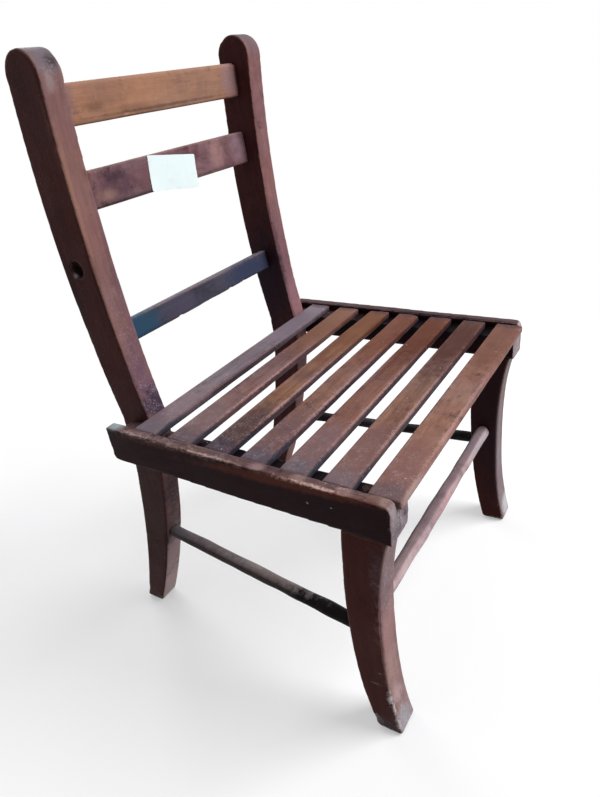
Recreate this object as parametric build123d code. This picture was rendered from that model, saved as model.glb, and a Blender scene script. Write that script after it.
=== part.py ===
from build123d import *
import os

# A plain wooden chair with a slatted seat: two curved stiles that are back posts and rear legs
# in one, two side rails, two curved front legs, three back rails and three round stretchers.
#
# Millimetres, +Z up, +X towards the sitter's left, +Y towards the back of the chair.
# Each piece is drawn in the seat frame: z = 0 is the top of the side rails, y = 0 is the middle
# of their length. seat_to_floor then tilts the seat and stands the chair on the floor, z = 0.
# Pieces that come in pairs are drawn on the sitter's left, at +X, and mirrored to the right.

# ---- seat ----
seat_width = 530.0  # over the outer faces of the side rails
seat_height = 414.0  # floor to the top of the side rails, at the middle of their length
seat_tilt = 3.0  # degrees, the front edge is lower than the back

rail_length = 440.0
rail_width = 48.0
rail_height = 54.0
rail_lip = 17.0  # width of the lip left outside the rebate
rail_rebate = 14.0  # depth of the rebate that carries the slats
rail_heel_radius = 8.0  # worn lower corner at the back end
rail_nose_radius = 10.0  # worn upper corner at the front end
rail_belly_radius = 9.0  # rounded inner lower edge

slat_thickness = 11.5
slat_widths = (39.3, 40.8, 39.3, 38.4, 39.1, 38.9, 42.1)  # from the back of the seat
slat_spaces = (23.5, 24.4, 20.0, 21.2, 20.9, 19.1)
slat_play = 0.3  # gap at each end, and between the last slat and the stiles
slat_edge_radius = 1.5

# ---- stiles ----
stile_thickness = 36.0
stile_seat_front = 181.5  # front edge where it passes the seat
stile_seat_depth = 59.0
stile_seat_top = -13.0  # the edges are straight between these two heights
stile_seat_bottom = -60.0
stile_back_height = 225.0  # mid height of the back
stile_back_set = 27.6  # the front edge lies this far behind the seat there
stile_back_depth = 62.3
stile_shoulder_height = 434.5  # where the rounded top starts
stile_shoulder_set = 24.5
stile_shoulder_depth = 59.7
stile_top_rise = 35.0  # height of the rounded top above the shoulder
stile_knee_height = -241.0  # mid height of the rear leg
stile_knee_set = 36.5
stile_knee_depth = 52.5
stile_foot_height = -440.0  # the foot is drawn longer than needed and cut level with the floor
stile_foot_set = 111.5
stile_foot_depth = 35.0

arm_hole_diameter = 22.5  # blind round socket in the outer face
arm_hole_depth = 16.0
arm_hole_y = 243.0
arm_hole_z = 213.5

# ---- front legs ----
leg_thickness = 43.0
leg_inset = 1.2  # the leg's outer face lies this far inside the rail's
leg_setback = 6.5  # from the front end of the rail to the front edge of the leg's top
leg_top_depth = 59.5
leg_collar_height = -98.0
leg_collar_set = 9.0  # how far the front edge has moved back there
leg_collar_depth = 53.5
leg_waist_height = -224.0
leg_waist_set = 15.3
leg_waist_depth = 47.0
leg_ankle_height = -310.0
leg_ankle_set = 11.0
leg_ankle_depth = 43.0
leg_foot_height = -420.0
leg_foot_set = -11.0
leg_foot_depth = 41.0
leg_tenon_width = 14.0
leg_tenon_depth = 38.0
leg_tenon_height = 22.0
leg_edge_radius = 3.0

# ---- back rails ----
back_rail_thickness = 15.0
back_rail_set = 26.0  # from the front edge of the stile to the face of the rail
back_rail_tenon = 18.0  # how far each end enters the stile
back_rail_tenon_thickness = 9.0
back_rail_shoulder = 3.0  # above and below the tenon
back_rail_edge_radius = 2.0
top_rail_drop = 53.0  # from the shoulders of the stiles down to the rail's lower edge
top_rail_height = 49.0
top_rail_lean = -1.6  # degrees, plus leans backwards
middle_rail_bottom = 278.3
middle_rail_height = 50.0
middle_rail_lean = 2.5
lower_rail_bottom = 90.5
lower_rail_height = 33.0
lower_rail_lean = 7.6

# ---- stretchers ----
front_stretcher_diameter = 21.5
side_stretcher_diameter = 20.0
stretcher_tenon_diameter = 15.0
stretcher_tenon_length = 18.0
front_stretcher_z = -205.0
side_stretcher_front_z = -235.5
side_stretcher_back_z = -241.0

# ---- hidden dowels and nails ----
rail_dowel_diameter = 10.0
rail_dowel_length = 44.0
rail_dowel_in_stile = 18.0
rail_dowel_y = 201.0
rail_dowel_heights = (-25.0, -41.0)
nail_diameter = 2.4
nail_length = 30.0
nail_head_diameter = 5.0
nail_head_thickness = 1.2
nail_sink = 0.6  # the heads are punched this far below the slat
nail_from_end = 14.0

# ---- paper label on the middle back rail ----
label_width = 99.0
label_height = 49.0
label_thickness = 0.4
label_corner_radius = 2.0
label_x = -5.0  # centre of the label
label_z = 297.0
label_turn = 8.4  # degrees, clockwise seen from the front

# ---- fits ----
mortise_play = 0.15  # gap all round a tenon, dowel or nail
mortise_end_gap = 1.0  # gap past the end of a tenon or dowel
fillet_share = 0.45  # largest fillet, as a share of the wall it rounds

half_width = seat_width / 2
rail_inner = half_width - rail_width
lip_inner = half_width - rail_lip
stile_outer = rail_inner
stile_inner = stile_outer - stile_thickness
stile_middle = stile_outer - stile_thickness / 2
leg_outer = half_width - leg_inset
leg_inner = leg_outer - leg_thickness
leg_middle = leg_outer - leg_thickness / 2
leg_top_front = -rail_length / 2 + leg_setback
slat_top = slat_thickness - rail_rebate
slat_length = 2 * (lip_inner - slat_play)


def box(x0, x1, y0, y1, z0, z1):
    centre = Pos((x0 + x1) / 2, (y0 + y1) / 2, (z0 + z1) / 2)
    return centre * Box(x1 - x0, y1 - y0, z1 - z0)


def side_plate(edges, x0, x1):
    """An outline drawn in (y, z), extruded along x from x0 to x1."""
    outline = Pos(x0, 0, 0) * (Plane.YZ * make_face(edges))
    return extrude(outline, x1 - x0, dir=(1, 0, 0))


def softened(part, edges, radius, wall):
    """Round the edges, by less where the wall is too thin for the radius."""
    return part.fillet(min(radius, fillet_share * wall), edges)


def rod(start, end, diameter):
    axis = Vector(*end) - Vector(*start)
    upright = Cylinder(diameter / 2, axis.length, align=(Align.CENTER, Align.CENTER, Align.MIN))
    return Plane(origin=start, z_dir=axis) * upright


def arc_y(points, z):
    """The y at which the arc through three (y, z) points crosses the height z."""
    arc = ThreePointArc(*points)
    reach = (arc.radius**2 - (z - arc.arc_center.Y) ** 2) ** 0.5
    bulges_back = points[1][0] > arc.arc_center.X
    return arc.arc_center.X + (reach if bulges_back else -reach)


def on_both_sides(name, part):
    """The sitter's left piece, as drawn, and its mirror image on the right."""
    return {name + "_left": part, name + "_right": mirror(part, about=Plane.YZ)}


# ---- stiles ----
def stile_back_arc(side):
    """Front edge of the back post for side 0, its back edge for side 1."""
    return (
        (stile_seat_front + side * stile_seat_depth, stile_seat_top),
        (stile_seat_front + stile_back_set + side * stile_back_depth, stile_back_height),
        (stile_seat_front + stile_shoulder_set + side * stile_shoulder_depth, stile_shoulder_height),
    )


def stile_leg_arc(side):
    """Front edge of the rear leg for side 0, its back edge for side 1."""
    return (
        (stile_seat_front + side * stile_seat_depth, stile_seat_bottom),
        (stile_seat_front + stile_knee_set + side * stile_knee_depth, stile_knee_height),
        (stile_seat_front + stile_foot_set + side * stile_foot_depth, stile_foot_height),
    )


def stile_front_y(z):
    arc = stile_back_arc(0) if z > stile_seat_top else stile_leg_arc(0)
    return arc_y(arc, z)


def stile_blank():
    edges = []
    for side in (0, 1):
        back_arc = stile_back_arc(side)
        leg_arc = stile_leg_arc(side)
        edges.append(ThreePointArc(*back_arc))
        edges.append(Line(back_arc[0], leg_arc[0]))
        edges.append(ThreePointArc(*leg_arc))
    front_shoulder = stile_back_arc(0)[2]
    back_shoulder = stile_back_arc(1)[2]
    top = ((front_shoulder[0] + back_shoulder[0]) / 2, stile_shoulder_height + stile_top_rise)
    edges.append(ThreePointArc(front_shoulder, top, back_shoulder))
    edges.append(Line(stile_leg_arc(0)[2], stile_leg_arc(1)[2]))
    return side_plate(edges, stile_inner, stile_outer)


# ---- front legs ----
def leg_edge_points(side):
    """Front edge of the front leg for side 0, its back edge for side 1, from the top down."""
    return (
        (leg_top_front + side * leg_top_depth, -rail_height),
        (leg_top_front + leg_collar_set + side * leg_collar_depth, leg_collar_height),
        (leg_top_front + leg_waist_set + side * leg_waist_depth, leg_waist_height),
        (leg_top_front + leg_ankle_set + side * leg_ankle_depth, leg_ankle_height),
        (leg_top_front + leg_foot_set + side * leg_foot_depth, leg_foot_height),
    )


def leg_blank():
    front = leg_edge_points(0)
    back = leg_edge_points(1)
    edges = [Spline(*front), Spline(*back), Line(front[0], back[0]), Line(front[-1], back[-1])]
    plate = side_plate(edges, leg_inner, leg_outer)
    corners = plate.edges().filter_by(lambda edge: edge.length > leg_thickness + leg_top_depth)
    return softened(plate, corners, leg_edge_radius, leg_thickness)


def leg_middle_y(z):
    """Halfway between the front and back edges of the front leg at the height z."""
    return section(leg_blank(), Plane.XY.offset(z)).center().Y


def leg_tenon(play, end_gap):
    """The stub on top of the front leg, or its mortise when play and end_gap are not zero."""
    middle_y = leg_top_front + leg_top_depth / 2
    half_x = leg_tenon_width / 2 + play
    half_y = leg_tenon_depth / 2 + play
    top = leg_tenon_height + end_gap - rail_height
    ends = (middle_y - half_y, middle_y + half_y)
    return box(leg_middle - half_x, leg_middle + half_x, *ends, -rail_height, top)


# ---- back rails ----
def back_rail_place(bottom, height, lean):
    """Location of the middle of a back rail, leaning with the back."""
    z = bottom + height / 2
    y = stile_front_y(z) + back_rail_set + back_rail_thickness / 2
    return Pos(0, y, z) * Rot(-lean, 0, 0)


def back_rail(bottom, height, lean):
    board = Box(2 * stile_inner, back_rail_thickness, height)
    long_edges = board.edges().filter_by(Axis.X)
    board = softened(board, long_edges, back_rail_edge_radius, back_rail_thickness)
    return back_rail_place(bottom, height, lean) * (board + back_rail_tenons(height, 0, 0))


def back_rail_tenons(height, play, end_gap):
    reach = 2 * (stile_inner + back_rail_tenon + end_gap)
    thickness = back_rail_tenon_thickness + 2 * play
    return Box(reach, thickness, height - 2 * back_rail_shoulder + 2 * play)


def back_rail_mortise(bottom, height, lean):
    tenons = back_rail_tenons(height, mortise_play, mortise_end_gap)
    return back_rail_place(bottom, height, lean) * tenons


back_rail_sizes = {
    "back_rail_top": (stile_shoulder_height - top_rail_drop, top_rail_height, top_rail_lean),
    "back_rail_middle": (middle_rail_bottom, middle_rail_height, middle_rail_lean),
    "back_rail_lower": (lower_rail_bottom, lower_rail_height, lower_rail_lean),
}


# ---- stretchers ----
def along(start, end, distance):
    """The point at a distance beyond end, on the line from start to end."""
    step = Vector(*end) - Vector(*start)
    return Vector(*end) + step.normalized() * distance


def front_stretcher_rod(diameter, extra):
    y = leg_middle_y(front_stretcher_z)
    half = leg_inner + extra
    return rod((-half, y, front_stretcher_z), (half, y, front_stretcher_z), diameter)


def side_stretcher_axis():
    """Where the axis meets the middle of the front leg and the middle of the stile."""
    front = (leg_middle, leg_middle_y(side_stretcher_front_z), side_stretcher_front_z)
    back_y = stile_front_y(side_stretcher_back_z) + stile_knee_depth / 2
    return front, (stile_middle, back_y, side_stretcher_back_z)


def side_stretcher_rod(diameter, extra):
    """A rod along the axis, longer than the tenons reach by extra."""
    front, back = side_stretcher_axis()
    to_front = stretcher_tenon_length - leg_waist_depth / 2 + extra
    to_back = stretcher_tenon_length - stile_knee_depth / 2 + extra
    return rod(along(back, front, to_front), along(front, back, to_back), diameter)


def side_stretcher():
    shaft = side_stretcher_rod(side_stretcher_diameter, 0) - leg_blank() - stile_blank()
    return shaft + side_stretcher_rod(stretcher_tenon_diameter, 0)


def front_stretcher():
    shaft = front_stretcher_rod(front_stretcher_diameter, 0)
    return shaft + front_stretcher_rod(stretcher_tenon_diameter, stretcher_tenon_length)


# ---- slats ----
def slat_places():
    """The front and back edge of each slat, from the back of the seat forwards."""
    places = []
    back = stile_seat_front - slat_play
    for number, width in enumerate(slat_widths):
        places.append((back - width, back))
        if number < len(slat_spaces):
            back = back - width - slat_spaces[number]
    return places


def slat(front, back):
    half = slat_length / 2
    board = box(-half, half, front, back, slat_top - slat_thickness, slat_top)
    long_edges = board.edges().filter_by(Axis.X)
    board = softened(board, long_edges, slat_edge_radius, slat_thickness)
    for hole in slat_nails(front, back, mortise_play):
        board = board - hole
    return board


def slat_nails(front, back, play):
    """One nail at each end of a slat, or its hole when play is not zero."""
    top = slat_top - (0 if play else nail_sink)
    nails = []
    for side in (-1, 1):
        x = side * (slat_length / 2 - nail_from_end)
        y = (front + back) / 2
        under_head = slat_top - nail_sink - nail_head_thickness
        shank = rod((x, y, slat_top - nail_sink - nail_length), (x, y, top), nail_diameter + 2 * play)
        head = rod((x, y, under_head), (x, y, top), nail_head_diameter + 2 * play)
        nails.append(shank + head)
    return nails


# ---- side rails ----
def rail_dowels(play, end_gap):
    start = stile_outer - rail_dowel_in_stile - end_gap
    end = start + rail_dowel_length + 2 * end_gap
    diameter = rail_dowel_diameter + 2 * play
    return [rod((start, rail_dowel_y, z), (end, rail_dowel_y, z), diameter) for z in rail_dowel_heights]


def side_rail():
    half = rail_length / 2
    rail = box(rail_inner, half_width, -half, half, -rail_height, 0)
    heel = rail.edges().filter_by(Axis.X).sort_by(Axis.Y)[-2:].sort_by(Axis.Z)[0]
    rail = rail.fillet(rail_heel_radius, [heel])
    nose = rail.edges().filter_by(Axis.X).sort_by(Axis.Y)[:2].sort_by(Axis.Z)[-1]
    rail = rail.fillet(rail_nose_radius, [nose])
    belly = rail.edges().filter_by(Axis.Y).group_by(Axis.Z)[0].sort_by(Axis.X)[0]
    rail = softened(rail, [belly], rail_belly_radius, rail_height - rail_rebate)
    rail = rail - box(rail_inner, lip_inner, -half, half, -rail_rebate, 0)
    rail = rail - leg_tenon(mortise_play, mortise_end_gap)
    for dowel in rail_dowels(mortise_play, mortise_end_gap):
        rail = rail - dowel
    for front, back in slat_places():
        rail = rail - slat_nails(front, back, mortise_play)[1]
    return rail


def stile():
    post = stile_blank()
    for sizes in back_rail_sizes.values():
        post = post - back_rail_mortise(*sizes)
    for dowel in rail_dowels(mortise_play, mortise_end_gap):
        post = post - dowel
    socket_start = (stile_outer - arm_hole_depth, arm_hole_y, arm_hole_z)
    post = post - rod(socket_start, (stile_outer, arm_hole_y, arm_hole_z), arm_hole_diameter)
    return post - side_stretcher_rod(stretcher_tenon_diameter + 2 * mortise_play, mortise_end_gap)


def front_leg():
    leg = leg_blank() + leg_tenon(0, 0)
    socket = stretcher_tenon_diameter + 2 * mortise_play
    leg = leg - front_stretcher_rod(socket, stretcher_tenon_length + mortise_end_gap)
    return leg - side_stretcher_rod(socket, mortise_end_gap)


# ---- paper label ----
def paper_label():
    sheet = RectangleRounded(label_width, label_height, label_corner_radius)
    upright = Rot(90, 0, 0) * extrude(sheet, label_thickness)
    place = back_rail_place(*back_rail_sizes["back_rail_middle"])
    above = label_z - middle_rail_bottom - middle_rail_height / 2
    return place * Pos(label_x, -back_rail_thickness / 2, above) * Rot(0, label_turn, 0) * upright


# ---- the whole chair ----
def seat_to_floor(part, shift):
    return Pos(0, shift, seat_height) * Rot(seat_tilt, 0, 0) * part


def chair_pieces():
    pieces = {}
    pieces.update(on_both_sides("side_rail", side_rail()))
    pieces.update(on_both_sides("stile", stile()))
    pieces.update(on_both_sides("front_leg", front_leg()))
    pieces.update(on_both_sides("side_stretcher", side_stretcher()))
    pieces["front_stretcher"] = front_stretcher()
    for name, sizes in back_rail_sizes.items():
        pieces[name] = back_rail(*sizes)
    nails = []
    for number, (front, back) in enumerate(slat_places(), start=1):
        pieces[f"slat_{number}"] = slat(front, back)
        nails.extend(slat_nails(front, back, 0))
    pieces["slat_nails"] = Compound(children=nails)
    dowels = rail_dowels(0, 0)
    dowels.extend([mirror(dowel, about=Plane.YZ) for dowel in rail_dowels(0, 0)])
    pieces["rail_dowels"] = Compound(children=dowels)
    pieces["paper_label"] = paper_label()
    return pieces


def stand_on_floor(pieces):
    """Tilt the seat, cut the feet level and bring the middle of the chair over the origin."""
    reach = seat_width + rail_length
    ground = box(-reach, reach, -reach, reach, -seat_height, 0)
    placed = {}
    for name, part in pieces.items():
        part = seat_to_floor(part, 0)
        if name.startswith(("stile", "front_leg")):
            part = part - ground
        placed[name] = part
    boxes = [part.bounding_box() for part in placed.values()]
    back = max(bounds.max.Y for bounds in boxes)
    front = min(bounds.min.Y for bounds in boxes)
    shift = -(front + back) / 2
    print("shift along y", round(shift, 3), "depth", round(back - front, 2))
    return {name: Pos(0, shift, 0) * part for name, part in placed.items()}


os.makedirs("parts", exist_ok=True)
for name, part in stand_on_floor(chair_pieces()).items():
    export_step(part, f"parts/{name}.step")
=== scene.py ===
import math

import bmesh
import bpy
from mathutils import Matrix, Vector, noise


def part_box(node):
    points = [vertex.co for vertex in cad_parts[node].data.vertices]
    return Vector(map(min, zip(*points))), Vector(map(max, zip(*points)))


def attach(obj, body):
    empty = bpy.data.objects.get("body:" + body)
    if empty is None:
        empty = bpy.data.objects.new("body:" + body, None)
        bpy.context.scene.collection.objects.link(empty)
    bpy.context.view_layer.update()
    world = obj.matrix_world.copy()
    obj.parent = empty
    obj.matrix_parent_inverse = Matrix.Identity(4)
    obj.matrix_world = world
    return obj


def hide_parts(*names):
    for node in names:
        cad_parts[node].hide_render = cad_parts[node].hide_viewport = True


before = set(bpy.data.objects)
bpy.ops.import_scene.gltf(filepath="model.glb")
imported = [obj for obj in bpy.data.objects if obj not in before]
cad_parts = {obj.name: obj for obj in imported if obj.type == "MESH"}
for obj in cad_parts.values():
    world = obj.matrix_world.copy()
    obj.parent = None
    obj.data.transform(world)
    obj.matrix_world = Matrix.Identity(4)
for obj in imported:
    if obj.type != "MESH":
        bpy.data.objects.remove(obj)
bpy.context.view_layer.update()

# A worn wooden chair with a slatted seat. Metres, in the frame of the CAD model:
# +X is the sitter's left, +Y the back of the chair, the floor is z = 0.

print("frame loaded,", len(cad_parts), "nodes")

# how the seat lies in the chair: its front edge is lower than its back
seatPlane = {"tilt": math.radians(3), "y": -0.060941, "z": 0.414}


def seatPoint(x, y, z):
    # a point of the seat frame, millimetres from the middle of the rail tops, in the row frame
    turn, y, z = seatPlane["tilt"], y / 1000, z / 1000
    return Vector((x / 1000, y * math.cos(turn) - z * math.sin(turn) + seatPlane["y"],
                   y * math.sin(turn) + z * math.cos(turn) + seatPlane["z"]))


def fromSeat(sizes):
    # half extents in millimetres, as metres
    return [size / 1000 for size in sizes]


screenCurve = {"straightTo": 0.04045, "slope": 12.92, "offset": 0.055, "power": 2.4}


def tint(red, green, blue):
    # a colour as it shows on screen, 0 to 255, as the linear values that a socket takes
    linear = []
    for channel in (red / 255, green / 255, blue / 255):
        if channel < screenCurve["straightTo"]:
            linear.append(channel / screenCurve["slope"])
        else:
            share = (channel + screenCurve["offset"]) / (1 + screenCurve["offset"])
            linear.append(share ** screenCurve["power"])
    return (*linear, 1.0)


# shader groups that every wood finish shares
class NodeTree:
    # a node tree with short ways to add nodes, join them and set their sockets
    def __init__(self, tree):
        self.tree = tree

    def add(self, kind, settings=None, **inputs):
        node = self.tree.nodes.new(kind)
        for name, value in (settings or {}).items():
            setattr(node, name, value)
        for name, value in inputs.items():
            self.feed(node, name, value)
        return node

    def feed(self, node, name, value):
        # a socket goes by its name, or by its number as i0, i1 and so on
        numbered = name[0] == "i" and name[1:].isdigit()
        socket = node.inputs[int(name[1:]) if numbered else name]
        if isinstance(value, bpy.types.NodeSocket):
            self.tree.links.new(value, socket)
        else:
            socket.default_value = value

    def math(self, operation, first, second=0.0, clamp=False):
        settings = {"operation": operation, "use_clamp": clamp}
        return self.add("ShaderNodeMath", settings, i0=first, i1=second).outputs[0]

    def vector(self, operation, first, second):
        return self.add("ShaderNodeVectorMath", {"operation": operation}, i0=first, i1=second).outputs[0]

    def length(self, vector):
        return self.add("ShaderNodeVectorMath", {"operation": "LENGTH"}, i0=vector).outputs[1]

    def blend(self, factor, below, above, mode="MIX"):
        node = self.add("ShaderNodeMix", {"data_type": "RGBA", "blend_type": mode, "clamp_factor": True})
        self.feed(node, "i0", factor)
        self.feed(node, "i6", below)
        self.feed(node, "i7", above)
        return node.outputs[2]

    def ramp(self, value, low, high):
        # 0 up to low, 1 from high on, and a smooth step between
        node = self.add("ShaderNodeMapRange", {"interpolation_type": "SMOOTHSTEP"}, Value=value)
        self.feed(node, "From Min", low)
        self.feed(node, "From Max", high)
        return node.outputs[0]

    def noise(self, vector, scale, detail=4.0, roughness=0.55, distortion=0.0):
        return self.add("ShaderNodeTexNoise", Vector=vector, Scale=scale, Detail=detail,
                        Roughness=roughness, Distortion=distortion).outputs[0]

    def cloud(self, vector, ramp, **pattern):
        # a noise as a mask, from 0 to 1 over the two values of the ramp
        return self.ramp(self.noise(vector, **pattern), *ramp)

    def group(self, name, **inputs):
        return self.add("ShaderNodeGroup", {"node_tree": bpy.data.node_groups[name]}, **inputs)


socketKinds = {"value": "NodeSocketFloat", "vector": "NodeSocketVector"}


def startGroup(name, inputs, outputs):
    # inputs as name and kind; what a group puts out are values
    group = bpy.data.node_groups.new(name, "ShaderNodeTree")
    for label, kind in inputs.items():
        group.interface.new_socket(name=label, in_out="INPUT", socket_type=socketKinds[kind])
    for label in outputs:
        group.interface.new_socket(name=label, in_out="OUTPUT", socket_type=socketKinds["value"])
    tree = NodeTree(group)
    return tree, tree.add("NodeGroupInput"), tree.add("NodeGroupOutput")


grainPattern = {
    "bands": {"scale": 75.0, "detail": 5.0, "roughness": 0.6, "distortion": 0.4}, "bandShare": 0.6,
    "streaks": {"scale": 320.0, "detail": 4.0, "roughness": 0.65}, "streakShare": 0.4,
    "figureRamp": (0.36, 0.64),
    "pores": {"scale": 950.0, "detail": 2.0, "ramp": (0.3, 0.6)},
}


def makeGrainGroup():
    # Vector is squeezed along the grain, so that round noise comes out as long streaks
    tree, start, end = startGroup("woodGrain", {"Vector": "vector"}, ["Figure", "Pores"])
    vector = start.outputs["Vector"]
    bands = tree.noise(vector, **grainPattern["bands"])
    streaks = tree.noise(vector, **grainPattern["streaks"])
    figure = tree.math("ADD", tree.math("MULTIPLY", bands, grainPattern["bandShare"]),
                       tree.math("MULTIPLY", streaks, grainPattern["streakShare"]))
    tree.feed(end, "Figure", tree.ramp(figure, *grainPattern["figureRamp"]))
    tree.feed(end, "Pores", tree.cloud(vector, **grainPattern["pores"]))


spotRamp = (0.3, 1.05)  # a spot is solid up to the first share of its size and gone at the second


def makeSpotGroup():
    # a soft patch round Centre, Size is its half extent each way, Ragged pushes its outline in and out
    inputs = {"Vector": "vector", "Centre": "vector", "Size": "vector", "Ragged": "value"}
    tree, start, end = startGroup("softSpot", inputs, ["Mask"])
    away = tree.vector("SUBTRACT", start.outputs["Vector"], start.outputs["Centre"])
    distance = tree.length(tree.vector("DIVIDE", away, start.outputs["Size"]))
    distance = tree.math("ADD", distance, start.outputs["Ragged"])
    tree.feed(end, "Mask", tree.math("SUBTRACT", 1.0, tree.ramp(distance, *spotRamp)))


wearPattern = {"patches": {"scale": 70.0, "detail": 9.0, "roughness": 0.75}, "ramp": (0.22, 0.5)}


def makeWearGroup():
    # Edge is the piece's own edge attribute, 1 on a worn corner
    inputs = {"Vector": "vector", "Edge": "value", "Amount": "value"}
    tree, start, end = startGroup("edgeWear", inputs, ["Mask"])
    patches = tree.noise(start.outputs["Vector"], **wearPattern["patches"])
    reach = tree.math("MULTIPLY", start.outputs["Edge"], start.outputs["Amount"])
    tree.feed(end, "Mask", tree.ramp(tree.math("MULTIPLY", reach, patches), *wearPattern["ramp"]))


grimePattern = {
    "Film": {"scale": 11.0, "detail": 6.0, "roughness": 0.6, "ramp": (0.38, 0.68)},
    "Blotch": {"scale": 38.0, "detail": 7.0, "roughness": 0.7, "ramp": (0.56, 0.72)},
    "Stain": {"scale": 24.0, "detail": 8.0, "roughness": 0.68, "distortion": 0.6, "ramp": (0.4, 0.7)},
    "Warmth": {"scale": 7.0, "detail": 3.0, "ramp": (0.42, 0.62)},
}
gritPattern = {"grains": {"scale": 430.0, "detail": 5.0, "roughness": 0.7, "ramp": (0.46, 0.64)},
               "drifts": {"scale": 62.0, "detail": 5.0, "roughness": 0.65, "ramp": (0.4, 0.62)}}
speckPattern = {"scale": 130.0, "dropRamp": (0.04, 0.15), "rareRamp": (0.92, 0.97)}
outlinePattern = {
    "Ragged": {"noise": {"scale": 80.0, "detail": 8.0, "roughness": 0.72}, "middle": 0.5, "push": 1.3},
    "Crumbled": {"noise": {"scale": 240.0, "detail": 6.0, "roughness": 0.75}, "middle": 0.42, "push": 3.0},
}


def makeGrimeGroup():
    # Film is a broad cloudy coat, Stain and Warmth shift the wood's own colour, Blotch is dirt, Specks are
    # tiny drops of paint and plaster, Grit is fine dust, Ragged breaks up the outline of a spot and
    # Crumbled that of a chip
    outputs = [*grimePattern, "Specks", "Grit", *outlinePattern]
    tree, start, end = startGroup("grime", {"Vector": "vector"}, outputs)
    vector = start.outputs["Vector"]
    for label, pattern in grimePattern.items():
        tree.feed(end, label, tree.cloud(vector, **pattern))
    cells = tree.add("ShaderNodeTexVoronoi", {"feature": "F1"}, Vector=vector, Scale=speckPattern["scale"])
    near = tree.math("SUBTRACT", 1.0, tree.ramp(cells.outputs["Distance"], *speckPattern["dropRamp"]))
    chance = tree.add("ShaderNodeSeparateColor", i0=cells.outputs["Color"]).outputs[0]
    tree.feed(end, "Specks", tree.math("MULTIPLY", near, tree.ramp(chance, *speckPattern["rareRamp"])))
    grains = tree.cloud(vector, **gritPattern["grains"])
    tree.feed(end, "Grit", tree.math("MULTIPLY", grains, tree.cloud(vector, **gritPattern["drifts"])))
    for label, pattern in outlinePattern.items():
        pushed = tree.math("SUBTRACT", tree.noise(vector, **pattern["noise"]), pattern["middle"])
        tree.feed(end, label, tree.math("MULTIPLY", pushed, pattern["push"]))


facingRamp = {"Side": (0.45, 0.8), "Top": (0.45, 0.8), "Front": (0.45, 0.8), "Back": (0.35, 0.75)}


def makeFacingGroup():
    # which way the surface looks, in the piece's own frame, for the tints that paint light and shade by
    # facing
    tree, start, end = startGroup("facing", {"Normal": "vector"}, facingRamp)
    x, y, z = tree.add("ShaderNodeSeparateXYZ", Vector=start.outputs["Normal"]).outputs
    turned = {"Side": tree.math("ABSOLUTE", x), "Top": z,
              "Front": tree.math("MULTIPLY", y, -1.0), "Back": y}
    for label, amount in turned.items():
        tree.feed(end, label, tree.ramp(amount, *facingRamp[label]))


makeGrainGroup()
makeSpotGroup()
makeWearGroup()
makeGrimeGroup()
makeFacingGroup()
print("shader groups ready")

# finishes
grainSqueeze = {"colour": 0.07, "shape": 0.12}  # how far each pattern is drawn out along the grain
patternShift = {"grain": (1.0, 0.7, 0.3), "grime": (0.9, 0.9, 0.9)}  # moved by these shares of the seed
oldVarnish = {"roughness": 0.48, "filmRoughness": 0.14, "poreRoughness": -0.06, "wornRoughness": 0.75,
              "specular": 0.05, "bump": 0.35, "bumpDistance": 0.0006}
reliefHeight = {"pores": 0.35, "figure": 0.45, "blotch": -0.3, "specks": 0.6}
woodShade = {"figure": (0.42, 0.36, 0.36, 1.0), "stain": (0.55, 0.46, 0.52, 1.0),
             "warmth": (1.17, 0.99, 0.76, 1.0)}  # these multiply the colour of the wood
# the film left off the side faces keeps them dark, as painted shade
woodDefaults = {"figure": 0.5, "stain": 0.7, "warmth": 0.6, "film": 0.35, "filmTint": (98, 88, 96),
                "sideClean": 0.85, "blotch": 0.5, "blotchTint": (44, 30, 32), "wear": 1.0, "bare": 0.35,
                "wornTint": (158, 124, 106), "bareTorn": 0.7, "tornTint": (158, 118, 98), "specks": 0.6,
                "speckTint": (205, 190, 186)}
markOutline = {"spots": "Ragged", "dust": "Ragged", "chips": "Crumbled"}


def alongGrain(grain, squeeze):
    # scales that draw a pattern out along x, y or z
    return [squeeze if axis == grain else 1.0 for axis in "xyz"]


def shiftedBy(kind, seed):
    return [share * seed for share in patternShift[kind]]


def startMaterial(name):
    material = bpy.data.materials.new(name)
    material.use_nodes = True
    material.node_tree.nodes.clear()
    tree = NodeTree(material.node_tree)
    shader = tree.add("ShaderNodeBsdfPrincipled")
    tree.output = tree.add("ShaderNodeOutputMaterial", Surface=shader.outputs[0])
    return material, tree, shader


def addBump(tree, shader, height, strength, distance):
    bump = tree.add("ShaderNodeBump", Strength=strength, Distance=distance, Height=height)
    tree.feed(shader, "Normal", bump.outputs[0])


def addMarks(tree, surface, look, place, grime, facing):
    # the piece's own marks; one that names a facing keeps to the faces that look that way
    for kind, outline in markOutline.items():
        for centre, size, markTint, strength, *onlySide in look.get(kind, []):
            mask = tree.group("softSpot", Vector=place, Centre=seatPoint(*centre), Size=fromSeat(size),
                              Ragged=grime.outputs[outline]).outputs[0]
            if kind == "dust":
                mask = tree.math("MULTIPLY", mask, grime.outputs["Grit"])
            if onlySide:
                mask = tree.math("MULTIPLY", mask, facing.outputs[onlySide[0]])
            surface = tree.blend(tree.math("MULTIPLY", mask, strength), surface, tint(*markTint))
    return surface


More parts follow.
